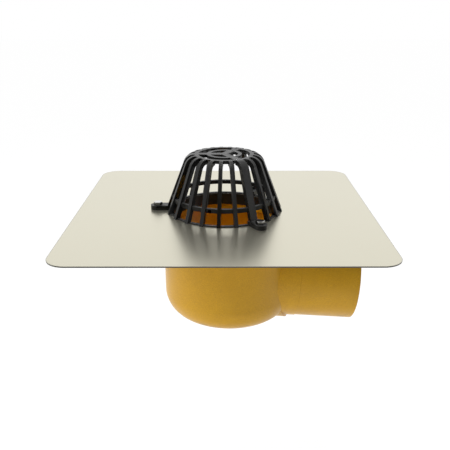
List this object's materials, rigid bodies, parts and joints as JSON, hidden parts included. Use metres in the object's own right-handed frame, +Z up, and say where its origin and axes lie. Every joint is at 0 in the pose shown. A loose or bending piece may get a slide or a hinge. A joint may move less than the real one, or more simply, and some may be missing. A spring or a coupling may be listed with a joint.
{
  "type": "flat roof drain",
  "caption": "Flat roof drain with an insulated pot, a falling side outlet, a square membrane collar and a ribbed leaf guard held down by hex screws.",
  "frame": {"origin": "on the inlet axis, level with the collar's top face", "axes": "+Z up out of the roof, +X towards the side outlet"},
  "size_m": [0.5, 0.5, 0.3067],
  "materials": {
    "foam_body": "rigid polyurethane foam with a fine-grained moulded skin",
    "collar_sheet": "sheet laminated with a satin beige film",
    "ring_plastic": "moulded black, smooth",
    "gasket_rubber": "flat sheet rubber",
    "guard_plastic": "moulded black, slightly satin",
    "screw_steel": "plain stainless",
    "insert_brass": "turned"
  },
  "bodies": {
    "root": {"drain_body": "foam_body", "membrane_collar": "collar_sheet", "inlet_ring": "ring_plastic", "flange_gasket": "gasket_rubber", "leaf_guard": "guard_plastic", "screw_left": "screw_steel", "screw_front": "screw_steel", "screw_rear": "screw_steel", "insert_left": "insert_brass", "insert_front": "insert_brass", "insert_rear": "insert_brass"}
  },
  "joints": []
}
